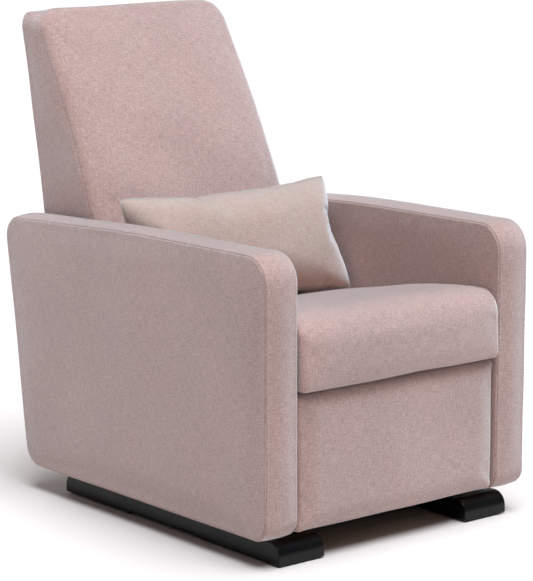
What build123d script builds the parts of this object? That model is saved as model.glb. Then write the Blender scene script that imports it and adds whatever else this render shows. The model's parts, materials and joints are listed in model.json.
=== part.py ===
from build123d import *

import math
import os

# Glider nursery chair with a reclining back and a fold-out footrest.
#
# Millimetres, +Z up, +X towards the right of somebody facing the chair, and the chair faces -Y.
# While a piece is modelled, Y is counted from the front face of the arms. export_node() then shifts
# every piece by FRONT_Y, so that the finished chair is centred over its origin on the floor.
# Side views give points as (y, z).

# ---------------------------------------------------------------- overall dimensions
WIDTH = 720.0  # over both arms
SEAT_FRONT_Y, BACK_REAR_Y = -12.0, 978.0
BACK_TOP_Z = 1063.0
FRONT_Y = -(SEAT_FRONT_Y + BACK_REAR_Y) / 2  # the arms' front face, in the finished frame

# ---------------------------------------------------------------- arms
ARM_THICK = 85.0
ARM_Z = 57.0  # underside of the upholstery
ARM_FRONT_TOP, ARM_CROWN_TOP, ARM_REAR_TOP = 634.0, 630.0, 607.0
ARM_TOP_DEPTH, ARM_BOTTOM_DEPTH = 914.0, 837.0
ARM_RADII = (40.0, 45.0, 45.0, 4000.0, 60.0)  # front low, rear low, rear top, crown, front top
ARM_EDGE = 11.0
INNER = WIDTH / 2 - ARM_THICK  # inside face of each arm
FRAME_X, FRAME_INSET = INNER + 34, 30.0  # the plywood inside the arm
WOOD = 18.0

# ---------------------------------------------------------------- base
RUNNER_IN, RUNNER_OUT, RUNNER_H = 197.0, 316.0, 48.0
RUNNER_Y0, RUNNER_Y1 = 9.5, 751.0
RUNNER_END, RUNNER_EDGE = 30.0, 2.0  # radii of the top corners and of the long edges
RELIEF, RELIEF_Y0, RELIEF_Y1 = 5.0, 280.0, 515.0  # hollow under each runner's middle
PAD_H, PAD_R = 3.0, 14.0  # foot pads under the runners
PAD_Y = (RUNNER_Y0 + 60, 230.0, 560.0, RUNNER_Y1 - 60)
CROSSBAR_Z0, CROSSBAR_FRONT, CROSSBAR_REAR = 6.0, (160.0, 185.0), (590.0, 615.0)

# ---------------------------------------------------------------- gliding mechanism
PLATE = 4.0  # steel thickness
PIN_R, BORE_GAP, SHOULDER = 4.0, 0.05, 0.8
RUNNING = PIN_R + BORE_GAP  # bore that turns on a pin
DRIVE_R = 9.0  # drive shaft and recline pins
LINK_LENGTH, LINK_TOP_Z, LINK_W = 140.0, 250.0, 28.0
GLIDE_FRONT_Y, GLIDE_REAR_Y = 170.0, 480.0
BUSH_R, GLIDE_PIN_R = 9.0, 5.0
TOWER_W, FOOT = 42.0, 46.0

# Layers of the mechanism, as distances from the middle of the chair to a plate's inner face.
TOWER_X, LINK_X, HANGER_X = 264.0, 259.0, 254.0
SIDE_PLATE_X, CONTROL_X, FRONT_LINK_X, DRIVE_X, IDLER_X = 238.0, 233.0, 228.0, 223.0, 218.0
BRACKET_X = 233.0
RAIL_X = 250.0
LATCH_X = 205.0
SCREW_X, SCREW_DY, SCREW_R = TOWER_X - 24, (-11.0, 11.0), 3.2

# ---------------------------------------------------------------- rails, channels and stretchers
RAIL_Y0, RAIL_Y1, RAIL_Z0, RAIL_Z1 = 60.0, 640.0, 285.0, 322.0
ARM_BOLT_R, ARM_BOLT_YZ = 4.0, ((100.0, 303.0), (340.0, 303.0), (600.0, 303.0))
FRONT_STRETCHER = (70.0, 90.0, 58.0, 76.0)  # from y to y, and from z to z
REAR_STRETCHER = (575.0, 600.0, 62.0, 100.0)
TRACK_TILT = 2.5  # degrees: the seat rises a little as it slides forward
TRACK_Y, TRACK_Z, TRACK_LENGTH = 355.0, 303.0, 350.0
TRACK_WALL, TRACK_WEB = 3.0, 1.5
BLOCK_H, BLOCK_LENGTH, BLOCK_THICK, BLOCK_Y = 18.0, 36.0, 6.0, (250.0, 495.0)

# ---------------------------------------------------------------- seat
SEAT_BASE_Z, SEAT_FRAME_TOP = 326.0, 352.0
SEAT_RAIL_HALF, SEAT_Y0, SEAT_Y1, SEAT_RAIL_W = 262.0, 60.0, 600.0, 30.0
SEAT_HALF = INNER - 3.0
SEAT_OUTLINE = (
    (SEAT_FRONT_Y, SEAT_FRAME_TOP), (604, SEAT_FRAME_TOP), (604, 405), (197, 487), (60, 504),
    (SEAT_FRONT_Y, 503),
)
SEAT_RADII = (12, 6, 14, 600, 150, 50)
SEAT_SPRING_X, SEAT_SPRING_Z = (-168, -84, 0, 84, 168), 340.0
SPRING_W, CLIP = 46.0, 3.0  # width of a sinuous spring, and the length let into the wood
RECLINE_Y, RECLINE_Z = 640.0, 300.0

# ---------------------------------------------------------------- release lever
LEVER_PIVOT, LEVER_R = (190.0, 338.0), 4.0
LEVER_THICK, LEVER_W, LEVER_TOP = 3.0, 14.0, 478.0
LEVER_EYE, LEVER_HOLE = 15.0, 9.0
LEVER_RECESS_W, LEVER_RECESS = 76.0, 7.0  # width and depth of the hollow in the seat's side
LATCH_R = 26.0

# ---------------------------------------------------------------- footrest
# The linkage, closed, as (y, z): two four-bar stages on each side.
DRIVE_PIVOT = (122.0, 290.0)
KNEE = (163.0, 105.0)
BOARD_PIVOT = (73.0, 250.0)
CONTROL_PIVOT, CONTROL_TAIL = (95.0, 257.0), (143.0, 95.0)
IDLER_LOW, IDLER_TOP = (183.0, 112.0), (98.0, 255.0)
CONTROL_SLACK, IDLER_SLACK = 1.6, 0.8  # extra room at the pivot that closes each loop
BOARD_FRONT_Y, BOARD_HALF, BOARD_Z0, BOARD_Z1 = 5.0, INNER - 3.0, 62.0, 347.0
PAD_THICK, PAD_EDGE, BOARD_THICK = 37.0, 11.0, 12.0
FLANGE = 26.0

# ---------------------------------------------------------------- back
BACK_HALF_LOW, BACK_HALF_TOP, BACK_CORNER = 271.0, 261.0, 52.0
REAR_BOTTOM, REAR_MID, REAR_TOP = (815.0, 122.0), (885.0, 614.0), (BACK_REAR_Y, 1044.0)
FRONT_LOW, FRONT_TOP = (611.0, 430.0), (912.0, BACK_TOP_Z)
BACK_CROWN = (738.1, 757.7)  # the front's arc passes through here
BACK_UNDERSIDE = ((768, 122), (736, 330), (692, 392))
PANEL, FRAME_DEPTH = 12.0, 40.0
POCKET_Z0, POCKET_Z1, POCKET_HALF = 150.0, 1006.0, 243.0
UPRIGHT_W = 28.0
FRAME_Z0, FRAME_Z1, RAIL_H = 156.0, 1000.0, 42.0
BACK_SPRING_Z = (420, 530, 640, 750, 860)

# ---------------------------------------------------------------- pillow
PILLOW_AT, PILLOW_LEAN, PILLOW_TURN, PILLOW_ROLL = (4.0, 541.0, 552.0), 25.4, 8.5, 1.4
PILLOW_W, PILLOW_H, PILLOW_T = 498.0, 256.0, 148.0


# ---------------------------------------------------------------- helpers
def export_node(part, name):
    """Moves a piece from the arms' front face to the finished frame and writes its STEP file."""
    moved = part.moved(Location((0, FRONT_Y, 0)))
    moved.label = name
    export_step(moved, f"parts/{name}.step")


def export_pair(part, name):
    """Writes a piece modelled on the +X side, and its mirror image on the -X side."""
    export_node(part, name + "_right")
    export_node(mirror(part, about=Plane.YZ), name + "_left")


def both_sides(part):
    """A piece and its mirror image across the middle of the chair, as one group."""
    return Compound(children=[*part.solids(), *mirror(part, about=Plane.YZ).solids()])


def side_plane(x):
    """A sketch plane across the chair at distance x: its axes are the chair's Y and Z."""
    return Plane.YZ.offset(x)


def link_plate(points, bores, x, width):
    """A flat bar through two or three pivots, with round ends and a bore at each pivot."""
    with BuildPart() as bar:
        with BuildSketch(side_plane(x)):
            for a, b in zip(points, points[1:]):
                turn = math.degrees(math.atan2(b[1] - a[1], b[0] - a[0]))
                with Locations(Location(((a[0] + b[0]) / 2, (a[1] + b[1]) / 2, 0), (0, 0, turn))):
                    SlotCenterToCenter(math.dist(a, b), width)
            for point, bore in zip(points, bores):
                if bore:
                    with Locations(point):
                        Circle(bore, mode=Mode.SUBTRACT)
        extrude(amount=PLATE)
    return bar.part


def cross_pin(point, x0, x1, radius=PIN_R):
    """A plain pin along X, from x0 to x1."""
    with BuildPart() as pin:
        with BuildSketch(side_plane(x0)):
            with Locations(point):
                Circle(radius)
        extrude(amount=x1 - x0)
    return pin.part


def joint_pin(point, owner_x, other_x, radius=PIN_R):
    """A pin through two neighbouring plates, with a shoulder on the owner's side of their gap."""
    x0, x1 = min(owner_x, other_x), max(owner_x, other_x) + PLATE
    shoulder = owner_x + PLATE if other_x > owner_x else owner_x - SHOULDER
    with BuildPart() as pin:
        with BuildSketch(side_plane(x0)):
            with Locations(point):
                Circle(radius)
        extrude(amount=x1 - x0)
        with BuildSketch(side_plane(shoulder)):
            with Locations(point):
                Circle(radius + 3.5)
        extrude(amount=SHOULDER)
    return pin.part


def group(*parts):
    """Several separate solids as one node."""
    return Compound(children=[s for p in parts for s in p.solids()])


def box_between(x0, x1, y0, y1, z0, z1, edge=0.0):
    """A bar between two corners, with its long edges rounded."""
    with BuildPart() as bar:
        with Locations(((x0 + x1) / 2, (y0 + y1) / 2, (z0 + z1) / 2)):
            Box(x1 - x0, y1 - y0, z1 - z0)
        if edge:
            sizes = {Axis.X: x1 - x0, Axis.Y: y1 - y0, Axis.Z: z1 - z0}
            fillet(bar.edges().filter_by(max(sizes, key=sizes.get)), edge)
    return bar.part


def zigzag(half_span, turns, width, wire, plane):
    """A sinuous spring: a wire bent to and fro along X, on a plane."""
    step = 2 * half_span / turns
    points = [(-half_span, 0)]
    for i in range(turns):
        side = width / 2 if i % 2 == 0 else -width / 2
        x = -half_span + step * (i + 0.2)
        points += [(x, side), (x + step * 0.6, side)]
    points.append((half_span, 0))
    with BuildPart() as spring:
        with BuildLine(plane) as path:
            FilletPolyline(*points, radius=step * 0.27)
        with BuildSketch(Plane(origin=path.line @ 0, z_dir=path.line % 0)):
            Circle(wire / 2)
        sweep()
    return spring.part


# ---------------------------------------------------------------- base: runners and towers
def make_runner():
    """Block that stands on its two ends, with a shallow hollow under its middle."""
    with BuildPart() as runner:
        with BuildSketch(side_plane(RUNNER_IN)):
            with BuildLine():
                FilletPolyline(
                    (RUNNER_Y0, PAD_H), (RELIEF_Y0, PAD_H), (RELIEF_Y0 + 4, PAD_H + RELIEF),
                    (RELIEF_Y1 - 4, PAD_H + RELIEF), (RELIEF_Y1, PAD_H), (RUNNER_Y1, PAD_H),
                    (RUNNER_Y1, RUNNER_H), (RUNNER_Y0, RUNNER_H),
                    radius=(3, 2, 2, 2, 2, 3, RUNNER_END, RUNNER_END), close=True,
                )
            make_face()
        extrude(amount=RUNNER_OUT - RUNNER_IN)
        ends = runner.faces().sort_by(Axis.X)
        fillet(ends[0].edges() + ends[-1].edges(), RUNNER_EDGE)
    return runner.part


def make_foot_pads():
    """Round pads in pairs under the four standing areas of each runner."""
    pads = []
    for y in PAD_Y:
        for x in (RUNNER_IN + 25, RUNNER_OUT - 25):
            with BuildPart() as pad:
                with Locations((x, y, 0)):
                    Cylinder(PAD_R, PAD_H, align=(Align.CENTER, Align.CENTER, Align.MIN))
                chamfer(pad.faces().sort_by(Axis.Z)[0].edges(), 0.8)
            pads.append(pad.part)
    return both_sides(group(*pads))


def make_tower(pivot_y):
    """Steel angle that stands on a runner and carries a swing link at its top."""
    with BuildPart() as tower:
        with BuildSketch(side_plane(TOWER_X)):
            with BuildLine():
                FilletPolyline(
                    (pivot_y - TOWER_W / 2, RUNNER_H), (pivot_y + TOWER_W / 2, RUNNER_H),
                    (pivot_y + 15, LINK_TOP_Z + 14), (pivot_y - 15, LINK_TOP_Z + 14),
                    radius=(1, 1, 13, 13), close=True,
                )
            make_face()
            with Locations((pivot_y, LINK_TOP_Z)):
                Circle(GLIDE_PIN_R, mode=Mode.SUBTRACT)
        extrude(amount=PLATE)
        with BuildSketch(Plane.XY.offset(RUNNER_H)):
            with Locations((TOWER_X + PLATE - FOOT / 2, pivot_y)):
                Rectangle(FOOT, TOWER_W)
            with Locations(*[(SCREW_X, pivot_y + dy) for dy in SCREW_DY]):
                Circle(SCREW_R, mode=Mode.SUBTRACT)
        extrude(amount=PLATE)
    return tower.part


def make_crossbar(y0, y1):
    """Bar that joins the two runners."""
    return box_between(-RUNNER_IN, RUNNER_IN, y0, y1, CROSSBAR_Z0, RUNNER_H, edge=3.0)


def make_tower_screws():
    """Screws through the towers' feet, with a domed head on the steel."""
    screws = []
    for pivot_y in (GLIDE_FRONT_Y, GLIDE_REAR_Y):
        for dy in SCREW_DY:
            with BuildPart() as screw:
                with Locations((SCREW_X, pivot_y + dy, RUNNER_H + PLATE)):
                    Cylinder(6, 3, align=(Align.CENTER, Align.CENTER, Align.MIN))
                    Cylinder(SCREW_R, PLATE, align=(Align.CENTER, Align.CENTER, Align.MAX))
                fillet(screw.faces().sort_by(Axis.Z)[-1].edges(), 1.5)
            screws.append(screw.part)
    return both_sides(group(*screws))


def make_glide_pins(z, owner_x):
    """The four pivot pins at one height, fixed in the towers or in the hangers."""
    pins = [joint_pin((y, z), owner_x, LINK_X, GLIDE_PIN_R) for y in (GLIDE_FRONT_Y, GLIDE_REAR_Y)]
    return both_sides(group(*pins))


# ---------------------------------------------------------------- swing links
def make_swing_links(pivot_y):
    """Hanging links, one on each side, that the arms and seat swing from."""
    ends = [(pivot_y, LINK_TOP_Z), (pivot_y, LINK_TOP_Z - LINK_LENGTH)]
    return both_sides(link_plate(ends, (BUSH_R, BUSH_R), LINK_X, LINK_W))


def make_link_bushes(pivot_y):
    """Bearings pressed into the ends of the links, one for each pivot pin."""
    rings = []
    for z in (LINK_TOP_Z, LINK_TOP_Z - LINK_LENGTH):
        with BuildPart() as ring:
            with BuildSketch(side_plane(LINK_X)):
                with Locations((pivot_y, z)):
                    Circle(BUSH_R)
                    Circle(GLIDE_PIN_R + BORE_GAP, mode=Mode.SUBTRACT)
            extrude(amount=PLATE)
        rings.append(ring.part)
    return both_sides(group(*rings))


# ---------------------------------------------------------------- chassis: arms and rails
def arm_outline(inset=0.0, bottom=ARM_Z):
    """The closed outline of an arm seen from the side, shrunk by inset."""
    i = inset
    lean = (ARM_TOP_DEPTH - ARM_BOTTOM_DEPTH) * (bottom - ARM_Z) / (ARM_REAR_TOP - ARM_Z)
    FilletPolyline(
        (i, bottom), (ARM_BOTTOM_DEPTH + lean - i, bottom), (ARM_TOP_DEPTH - i, ARM_REAR_TOP - i),
        (ARM_TOP_DEPTH / 2, ARM_CROWN_TOP - i), (i, ARM_FRONT_TOP - i),
        radius=[radius - (i / 2 if radius < 100 else 0) for radius in ARM_RADII], close=True,
    )


def make_arm_pad():
    """The padded arm: a full block with a slot, open at its underside, for the plywood frame."""
    with BuildPart() as pad:
        with BuildSketch(side_plane(INNER)):
            with BuildLine():
                arm_outline()
            make_face()
        extrude(amount=ARM_THICK)
        faces = pad.faces().sort_by(Axis.X)
        fillet(faces[0].edges() + faces[-1].edges(), ARM_EDGE)
        with BuildSketch(side_plane(FRAME_X)):
            with BuildLine():
                arm_outline(FRAME_INSET - 0.5, ARM_Z - 1)
            make_face()
        extrude(amount=WOOD, mode=Mode.SUBTRACT)
        with BuildSketch(side_plane(INNER - 1)):
            with Locations(*ARM_BOLT_YZ):
                Circle(ARM_BOLT_R + BORE_GAP)
        extrude(amount=FRAME_X - INNER + 2, mode=Mode.SUBTRACT)
    return pad.part


def make_arm_frame():
    """Plywood board inside the arm, with holes for the bolts."""
    with BuildPart() as frame:
        with BuildSketch(side_plane(FRAME_X)):
            with BuildLine():
                arm_outline(FRAME_INSET, ARM_Z + 1)
            make_face()
            with Locations(*ARM_BOLT_YZ):
                Circle(ARM_BOLT_R + BORE_GAP, mode=Mode.SUBTRACT)
        extrude(amount=WOOD)
    return frame.part


def make_side_rail():
    """Hardwood rail bolted to the arm: the hangers and the seat's track are fixed to it."""
    with BuildPart() as rail:
        with BuildSketch(side_plane(RAIL_X)):
            with Locations(((RAIL_Y0 + RAIL_Y1) / 2, (RAIL_Z0 + RAIL_Z1) / 2)):
                Rectangle(RAIL_Y1 - RAIL_Y0, RAIL_Z1 - RAIL_Z0)
            with Locations(*ARM_BOLT_YZ):
                Circle(ARM_BOLT_R + BORE_GAP, mode=Mode.SUBTRACT)
        extrude(amount=INNER - RAIL_X)
    return rail.part


def make_stretcher(y0, y1, z0, z1):
    """Hardwood bar between the two arms."""
    return box_between(-INNER, INNER, y0, y1, z0, z1, edge=2.0)


def make_arm_bolts():
    """Bolts from the rails through the padding into the arms' plywood."""
    bolts = [cross_pin(yz, RAIL_X, FRAME_X + WOOD, ARM_BOLT_R) for yz in ARM_BOLT_YZ]
    return both_sides(group(*bolts))


def make_hanger(pivot_y):
    """Steel angle under the rail that carries the lower end of a swing link."""
    low_z, top_z = LINK_TOP_Z - LINK_LENGTH, RAIL_Z0
    with BuildPart() as hanger:
        with BuildSketch(side_plane(HANGER_X)):
            with BuildLine():
                FilletPolyline(
                    (pivot_y - 15, low_z - 14), (pivot_y + 15, low_z - 14), (pivot_y + 34, top_z),
                    (pivot_y - 34, top_z), radius=(13, 13, 1, 1), close=True,
                )
            make_face()
            with Locations((pivot_y, low_z)):
                Circle(GLIDE_PIN_R, mode=Mode.SUBTRACT)
        extrude(amount=PLATE)
        with BuildSketch(Plane.XY.offset(top_z - PLATE)):
            with Locations(((HANGER_X + INNER) / 2, pivot_y)):
                Rectangle(INNER - HANGER_X, 68)
        extrude(amount=PLATE)
    return hanger.part


def make_seat_track():
    """C-shaped channel on the inner face of the rail, open inboard, that guides the seat."""
    gap = BLOCK_H + 0.6
    tilt = Location((TRACK_Y, TRACK_Z, 0), (0, 0, -TRACK_TILT))
    with BuildPart() as track:
        with BuildSketch(side_plane(SIDE_PLATE_X + PLATE + 1)):
            with Locations(tilt):
                Rectangle(TRACK_LENGTH, gap + 2 * TRACK_WALL)
                Rectangle(TRACK_LENGTH, gap, mode=Mode.SUBTRACT)
        extrude(amount=RAIL_X - SIDE_PLATE_X - PLATE - 1)
        with BuildSketch(side_plane(RAIL_X - TRACK_WEB)):
            with Locations(tilt):
                Rectangle(TRACK_LENGTH, gap)
        extrude(amount=TRACK_WEB)
    return track.part


# ---------------------------------------------------------------- seat unit
def make_side_plate():
    """Steel plate under the seat that carries the footrest linkage, the slide blocks and the back."""
    with BuildPart() as plate:
        with BuildSketch(side_plane(SIDE_PLATE_X)):
            with BuildLine():
                FilletPolyline(
                    (80, 241), (112, 241), (160, 275), (610, 275), (665, 282), (665, 318),
                    (610, SEAT_BASE_Z), (62, SEAT_BASE_Z), (62, 270),
                    radius=(12, 14, 20, 20, 14, 14, 6, 4, 14), close=True,
                )
            make_face()
            with Locations(DRIVE_PIVOT):
                Circle(DRIVE_R + BORE_GAP, mode=Mode.SUBTRACT)
            with Locations((RECLINE_Y, RECLINE_Z)):
                Circle(DRIVE_R, mode=Mode.SUBTRACT)
            with Locations(CONTROL_PIVOT):
                Circle(PIN_R, mode=Mode.SUBTRACT)
        extrude(amount=PLATE)
    return plate.part


def make_seat_frame():
    """Four hardwood rails. The left one has a hole for the release lever's shaft."""
    half, z0, z1 = SEAT_RAIL_HALF, SEAT_BASE_Z, SEAT_FRAME_TOP
    front_y, rear_y_in = SEAT_Y0 + SEAT_RAIL_W, SEAT_Y1 - SEAT_RAIL_W
    front = box_between(-half, half, SEAT_Y0, front_y, z0, z1, edge=2.0)
    rear = box_between(-half, half, rear_y_in, SEAT_Y1, z0, z1, edge=2.0)
    right = box_between(half - SEAT_RAIL_W, half, front_y, rear_y_in, z0, z1)
    left = mirror(right, about=Plane.YZ)
    hole = cross_pin(LEVER_PIVOT, -half - 1, SEAT_RAIL_W - half + 1, LEVER_R + BORE_GAP)
    return group(front, rear, right, left - hole)


def make_seat_springs():
    """Five sinuous springs from the front rail to the back rail, with a clip at each end."""
    wires = []
    y0, y1 = SEAT_Y0 + SEAT_RAIL_W, SEAT_Y1 - SEAT_RAIL_W
    for x in SEAT_SPRING_X:
        plane = Plane(origin=(x, (y0 + y1) / 2, SEAT_SPRING_Z), x_dir=(0, 1, 0), z_dir=(0, 0, 1))
        wires.append(zigzag((y1 - y0) / 2 + CLIP, 21, SPRING_W, 3.6, plane))
    return group(*wires)


def make_seat_cushion():
    """Crowned cushion that tilts back, with a recess in its left side for the release lever."""
    with BuildPart() as cushion:
        with BuildSketch(side_plane(-SEAT_HALF)):
            with BuildLine():
                FilletPolyline(*SEAT_OUTLINE, radius=SEAT_RADII, close=True)
            make_face()
        extrude(amount=2 * SEAT_HALF)
        ends = cushion.faces().sort_by(Axis.X)
        fillet(ends[0].edges() + ends[-1].edges(), 5)
        with BuildSketch(side_plane(-SEAT_HALF - 1)):
            with Locations((LEVER_PIVOT[0] + 14, 430)):
                Rectangle(LEVER_RECESS_W, 200)
        extrude(amount=LEVER_RECESS + 1, mode=Mode.SUBTRACT)
    return cushion.part


def make_slide_blocks():
    """Nylon blocks on the side plates that run in the channels."""
    blocks = []
    for y in BLOCK_Y:
        z = TRACK_Z - (y - TRACK_Y) * math.tan(math.radians(TRACK_TILT))
        with BuildPart() as block:
            with BuildSketch(side_plane(SIDE_PLATE_X + PLATE)):
                with Locations(Location((y, z, 0), (0, 0, -TRACK_TILT))):
                    RectangleRounded(BLOCK_LENGTH, BLOCK_H, 4)
            extrude(amount=BLOCK_THICK)
        blocks.append(block.part)
    return both_sides(group(*blocks))


# ---------------------------------------------------------------- release lever
def make_release_lever():
    """Flat strap in the crease between the seat and the left arm, with a finger hole on top."""
    top = (LEVER_PIVOT[0], LEVER_TOP - LEVER_EYE)
    with BuildPart() as lever:
        with BuildSketch(side_plane(-(INNER - 3.5))):
            with Locations((LEVER_PIVOT[0], (LEVER_PIVOT[1] + top[1]) / 2)):
                Rectangle(LEVER_W, top[1] - LEVER_PIVOT[1])
            with Locations(LEVER_PIVOT):
                Circle(10)
                Circle(LEVER_R, mode=Mode.SUBTRACT)
            with Locations(top):
                Circle(LEVER_EYE)
                Circle(LEVER_HOLE, mode=Mode.SUBTRACT)
        extrude(amount=LEVER_THICK)
    return lever.part


def make_lever_shaft():
    """Round shaft from the lever through the seat's left rail to the latch."""
    return cross_pin(LEVER_PIVOT, -(INNER - 3.5), -LATCH_X + PLATE, LEVER_R)


def make_latch_hook():
    """Pawl on the lever's shaft. Its nose hangs just clear of the rim of the latch disc."""
    nose = (DRIVE_PIVOT[0] + 22, DRIVE_PIVOT[1] + 24.5)
    return link_plate([LEVER_PIVOT, nose], (LEVER_R, 0), -LATCH_X, 10)


def make_lever_spring():
    """Torsion spring coiled round the lever's shaft."""
    turns, pitch, wire, mean_r = 5, 2.2, 1.6, 6.0
    with BuildPart() as spring:
        with BuildLine():
            start = (-LATCH_X - 20, *LEVER_PIVOT)
            coil = Helix(pitch, pitch * turns, mean_r, center=start, direction=(1, 0, 0))
        with BuildSketch(Plane(origin=coil @ 0, z_dir=coil % 0)):
            Circle(wire / 2)
        sweep(is_frenet=True)
    return spring.part


# ---------------------------------------------------------------- footrest linkage
def make_drive_shaft():
    """Round bar across the chair that keeps both sides of the footrest in step."""
    with BuildPart() as shaft:
        with BuildSketch(side_plane(-(SIDE_PLATE_X + PLATE))):
            with Locations(DRIVE_PIVOT):
                Circle(DRIVE_R)
        extrude(amount=2 * (SIDE_PLATE_X + PLATE))
    return shaft.part


def make_drive_links():
    """First long links: fixed to the drive shaft, they swing the knees forward."""
    bores = (DRIVE_R, PIN_R, PIN_R)
    return both_sides(link_plate([DRIVE_PIVOT, KNEE, IDLER_LOW], bores, DRIVE_X, 20))


def make_drive_pins():
    """Pins at the knees and at the idlers' low ends."""
    knee = joint_pin(KNEE, DRIVE_X, FRONT_LINK_X)
    idler = joint_pin(IDLER_LOW, DRIVE_X, IDLER_X)
    return both_sides(group(knee, idler))


def make_latch_disc():
    """Disc on the drive shaft that the pawl works on."""
    with BuildPart() as disc:
        with BuildSketch(side_plane(-LATCH_X)):
            with Locations(DRIVE_PIVOT):
                Circle(LATCH_R)
                Circle(DRIVE_R, mode=Mode.SUBTRACT)
        extrude(amount=PLATE)
    return disc.part


def make_front_links():
    """Second long links, from the knees to the board, with tails for the control links."""
    bores = (PIN_R, RUNNING, PIN_R)
    return both_sides(link_plate([BOARD_PIVOT, KNEE, CONTROL_TAIL], bores, FRONT_LINK_X, 18))


def make_front_pins():
    """Pins at the board's pivots and at the links' tails."""
    board = joint_pin(BOARD_PIVOT, FRONT_LINK_X, DRIVE_X)
    tail = joint_pin(CONTROL_TAIL, FRONT_LINK_X, CONTROL_X)
    return both_sides(group(board, tail))


def make_control_links():
    """Short links from the side plates to the tails, with clearance at the tail."""
    bores = (RUNNING, PIN_R + CONTROL_SLACK)
    return both_sides(link_plate([CONTROL_PIVOT, CONTROL_TAIL], bores, CONTROL_X, 17))


def make_idler_links():
    """Links that keep the board at its angle, with clearance at the bracket."""
    bores = (RUNNING, PIN_R + IDLER_SLACK)
    return both_sides(link_plate([IDLER_LOW, IDLER_TOP], bores, IDLER_X, 14))


def make_footrest_pad():
    """Padded front panel."""
    y0, y1 = BOARD_FRONT_Y, BOARD_FRONT_Y + PAD_THICK
    with BuildPart() as pad:
        with Locations((0, (y0 + y1) / 2, (BOARD_Z0 + BOARD_Z1) / 2)):
            Box(2 * BOARD_HALF, y1 - y0, BOARD_Z1 - BOARD_Z0)
        fillet(pad.faces().sort_by(Axis.Y)[0].edges(), PAD_EDGE)
    return pad.part


def make_footrest_board():
    """Plywood behind the pad."""
    y0, half = BOARD_FRONT_Y + PAD_THICK, BOARD_HALF - 10
    return box_between(-half, half, y0, y0 + BOARD_THICK, BOARD_Z0 + 8, BOARD_Z1 - 8)


def make_board_bracket():
    """Steel angle screwed to the board: a flange on the wood and a web for the two pivots."""
    y_wood = BOARD_FRONT_Y + PAD_THICK + BOARD_THICK
    with BuildPart() as bracket:
        with BuildSketch(side_plane(DRIVE_X)):
            with BuildLine():
                FilletPolyline(
                    (y_wood, 205), (BOARD_PIVOT[0] + 8, 236), (IDLER_TOP[0] + 10, 243),
                    (IDLER_TOP[0] + 10, 266), (y_wood, 300), radius=(1, 6, 8, 9, 1), close=True,
                )
            make_face()
            with Locations(BOARD_PIVOT):
                Circle(RUNNING, mode=Mode.SUBTRACT)
            with Locations(IDLER_TOP):
                Circle(PIN_R, mode=Mode.SUBTRACT)
        extrude(amount=PLATE)
        with BuildSketch(Plane.XZ.offset(-y_wood)):
            with Locations((DRIVE_X - FLANGE / 2 + PLATE, 252)):
                RectangleRounded(FLANGE, 120, 5)
        extrude(amount=-PLATE)
    return bracket.part


# ---------------------------------------------------------------- back
def rear_y(z):
    """Y of the back's rear surface at height z."""
    low, high = (REAR_BOTTOM, REAR_MID) if z < REAR_MID[1] else (REAR_MID, REAR_TOP)
    return low[0] + (high[0] - low[0]) * (z - low[1]) / (high[1] - low[1])


def rear_band(z0, z1, near, far):
    """Outline of a layer that follows the rear surface, from depth near to depth far inside it."""
    heights = (z0, REAR_MID[1], z1) if z0 < REAR_MID[1] < z1 else (z0, z1)
    outer = [(rear_y(z) - near, z) for z in heights]
    inner = [(rear_y(z) - far, z) for z in reversed(heights)]
    Polyline(*outer, *inner, close=True)


def make_back_cushion():
    """Front and sides of the upholstered back, with a pocket open to the rear for its frame."""
    with BuildPart() as cushion:
        with BuildSketch(side_plane(-300)):
            with BuildLine():
                ThreePointArc(FRONT_LOW, BACK_CROWN, FRONT_TOP)
                Polyline(FRONT_TOP, REAR_TOP, REAR_MID, REAR_BOTTOM, *BACK_UNDERSIDE, FRONT_LOW)
            make_face()
        extrude(amount=600)
        with BuildSketch(Plane.XZ.offset(-500)):
            with BuildLine():
                FilletPolyline(
                    (-BACK_HALF_LOW, 100), (BACK_HALF_LOW, 100), (BACK_HALF_LOW, REAR_MID[1]),
                    (BACK_HALF_TOP, BACK_TOP_Z + 1), (-BACK_HALF_TOP, BACK_TOP_Z + 1),
                    (-BACK_HALF_LOW, REAR_MID[1]), radius=(2, 2, 90, BACK_CORNER, BACK_CORNER, 90),
                    close=True,
                )
            make_face()
        extrude(amount=-600, mode=Mode.INTERSECT)
        with BuildSketch(side_plane(-POCKET_HALF)):
            with BuildLine():
                rear_band(POCKET_Z0, POCKET_Z1, -20, PANEL + FRAME_DEPTH)
            make_face()
        extrude(amount=2 * POCKET_HALF, mode=Mode.SUBTRACT)
        for x in (-BRACKET_X - PLATE - 1, BRACKET_X - 1):
            with BuildSketch(side_plane(x)):
                with Locations((730, RECLINE_Z)):
                    Rectangle(140, 76)
            extrude(amount=PLATE + 2, mode=Mode.SUBTRACT)
    return cushion.part


def make_back_frame():
    """Two uprights and two rails of hardwood."""
    upright = make_back_upright()
    low = make_back_rail(FRAME_Z0, FRAME_Z0 + RAIL_H)
    top = make_back_rail(FRAME_Z1 - RAIL_H, FRAME_Z1)
    return group(both_sides(upright), low, top)


def make_back_upright():
    """Right upright: a bar that follows the back's rear surface."""
    with BuildPart() as upright:
        with BuildSketch(side_plane(BRACKET_X - UPRIGHT_W)):
            with BuildLine():
                rear_band(FRAME_Z0, FRAME_Z1, PANEL + 0.5, PANEL + FRAME_DEPTH - 0.5)
            make_face()
        extrude(amount=UPRIGHT_W)
    return upright.part


def make_back_rail(z0, z1):
    """Rail between the uprights, from height z0 to z1."""
    with BuildPart() as rail:
        with BuildSketch(side_plane(-(BRACKET_X - UPRIGHT_W))):
            with BuildLine():
                rear_band(z0, z1, PANEL + 0.5, PANEL + FRAME_DEPTH - 0.5)
            make_face()
        extrude(amount=2 * (BRACKET_X - UPRIGHT_W))
    return rail.part


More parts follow.
